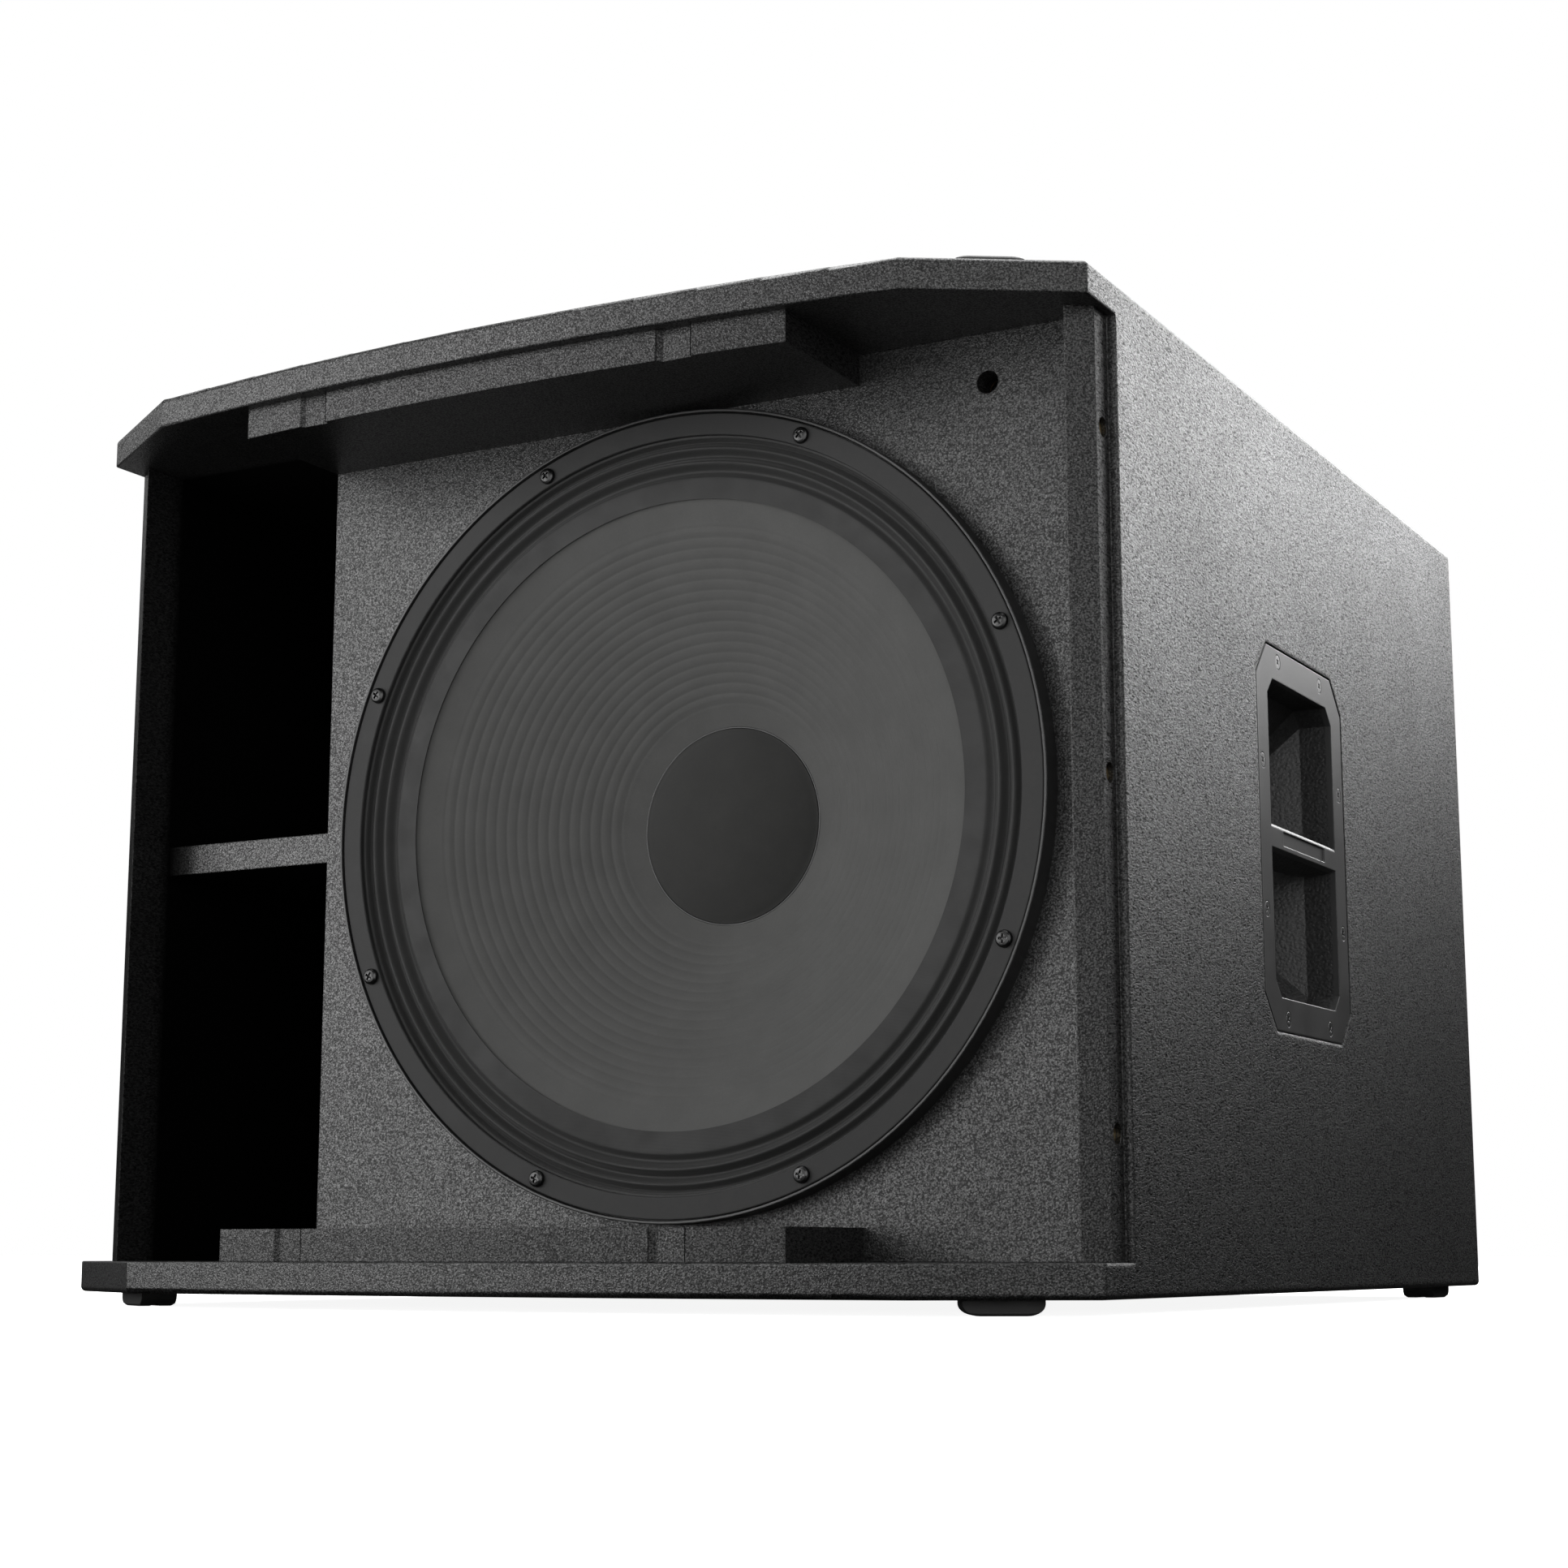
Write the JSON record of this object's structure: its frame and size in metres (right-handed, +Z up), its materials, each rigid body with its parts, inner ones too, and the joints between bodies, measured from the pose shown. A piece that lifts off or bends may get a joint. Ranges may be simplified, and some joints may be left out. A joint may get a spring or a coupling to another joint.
{
  "type": "pa subwoofer cabinet",
  "caption": "Powered bass cabinet with a large cone driver beside a tall reflex port, curved top and bottom panels, recessed side handles and rubber feet.",
  "frame": {"origin": "on the floor, midway across the cabinet and midway between the front crown and the rear edge", "axes": "+X to the right seen from the front, +Y from front to back, +Z up"},
  "size_m": [0.666, 0.7679, 0.55],
  "materials": {
    "coated_plywood": "black spatter-textured paint over plywood",
    "bare_plywood": "bare birch plywood",
    "wadding": "lofty polyester wadding",
    "handle_plastic": "satin moulded black, leather grain in the pocket",
    "foot_rubber": "moulded black rubber",
    "black_screws": "black zinc",
    "zinc_steel": "zinc plated",
    "socket_steel": "black powder coat",
    "insert_brass": "turned",
    "cast_frame": "black painted cast aluminium",
    "gasket_rubber": "matt foam rubber",
    "surround_cloth": "doped pleated cloth",
    "cone_paper": "ribbed black pulp",
    "cap_paper": "smooth black pulp",
    "spider_cloth": "resin-dipped cotton",
    "coil_former": "amber film",
    "coil_copper": "enamelled copper wire",
    "magnet_steel": "black zinc plated steel",
    "ferrite": "ground ferrite",
    "socket_plastic": "glass-filled moulding",
    "cable_jacket": "round two-core jacket",
    "amp_panel": "fine-textured black powder coat on aluminium",
    "sink_aluminium": "black anodised extrusion",
    "window_plastic": "smoked acrylic",
    "latch_metal": "nickel plated",
    "rocker_plastic": "moulded",
    "knob_plastic": "fluted soft-touch",
    "encoder_metal": "turned",
    "board": "green laminate",
    "supply_parts": "mixed electronic parts, cans and ferrites"
  },
  "bodies": {
    "cabinet": {"amp_circuit_board": "board", "amp_heatsink": "sink_aluminium", "amp_plate": "amp_panel", "amp_screws": "black_screws", "bottom_damping_pad": "wadding", "bottom_grille_cleat": "coated_plywood", "bottom_panel": "coated_plywood", "countersunk_screws": "black_screws", "display_window": "window_plastic", "driver_basket": "cast_frame", "driver_gasket": "gasket_rubber", "driver_screws": "black_screws", "driver_tee_nuts": "zinc_steel", "driver_terminals": "socket_plastic", "ferrite_magnet": "ferrite", "front_baffle": "coated_plywood", "front_left_foot": "foot_rubber", "front_left_stacking_pad": "foot_rubber", "front_right_foot": "foot_rubber", "front_right_stacking_pad": "foot_rubber", "grille_inserts": "insert_brass", "input_socket_a": "socket_plastic", "input_socket_b": "socket_plastic", "left_handle": "handle_plastic", "left_side_panel": "coated_plywood", "link_sockets": "socket_plastic", "magnet_top_plate": "magnet_steel", "mains_inlet": "socket_plastic", "pad_screws": "black_screws", "pole_socket": "socket_steel", "pole_yoke": "magnet_steel", "port_shelf": "coated_plywood", "port_wall": "coated_plywood", "power_supply_parts": "supply_parts", "rear_left_foot": "foot_rubber", "rear_left_stacking_pad": "foot_rubber", "rear_panel": "coated_plywood", "rear_right_foot": "foot_rubber", "rear_right_stacking_pad": "foot_rubber", "right_handle": "handle_plastic", "right_side_panel": "coated_plywood", "speaker_cable": "cable_jacket", "spider": "spider_cloth", "surround": "surround_cloth", "switch_housing": "socket_plastic", "tinsel_leads": "coil_copper", "top_damping_pad": "wadding", "top_grille_cleat": "coated_plywood", "top_panel": "coated_plywood", "window_brace": "bare_plywood"},
    "cone_assembly": {"cone": "cone_paper", "dust_cap": "cap_paper", "voice_coil_former": "coil_former", "voice_coil_winding": "coil_copper"},
    "input_latch_a": {"input_latch_a": "latch_metal"},
    "input_latch_b": {"input_latch_b": "latch_metal"},
    "fuse_drawer": {"fuse_drawer": "socket_plastic"},
    "power_rocker": {"power_rocker": "rocker_plastic"},
    "encoder_sleeve": {"encoder_sleeve": "encoder_metal"},
    "control_knob": {"encoder_knob": "knob_plastic"}
  },
  "joints": [
    {"name": "cone_travel", "type": "slide", "parent": "cabinet", "child": "cone_assembly", "axis": [0, 1, 0], "range_m": [-0.01, 0.01], "stiffness_N_per_m": 2500, "deforming": ["surround", "spider", "tinsel_leads"]},
    {"name": "input_latch_a_press", "type": "slide", "parent": "cabinet", "child": "input_latch_a", "axis": [0, -1, 0], "range_m": [0, 0.0015]},
    {"name": "input_latch_b_press", "type": "slide", "parent": "cabinet", "child": "input_latch_b", "axis": [0, -1, 0], "range_m": [0, 0.0015]},
    {"name": "fuse_drawer_slide", "type": "slide", "parent": "cabinet", "child": "fuse_drawer", "axis": [0, 1, 0], "range_m": [0, 0.016]},
    {"name": "power_rocker_tilt", "type": "hinge", "parent": "cabinet", "child": "power_rocker", "pos_m": [-0.098, 0.353, 0.213], "axis": [1, 0, 0], "range_deg": [-18, 0]},
    {"name": "encoder_turn", "type": "hinge", "parent": "cabinet", "child": "encoder_sleeve", "pos_m": [0.074, 0.357, 0.281], "axis": [0, 1, 0], "continuous": true},
    {"name": "encoder_push", "type": "slide", "parent": "encoder_sleeve", "child": "control_knob", "axis": [0, -1, 0], "range_m": [0, 0.001]}
  ]
}
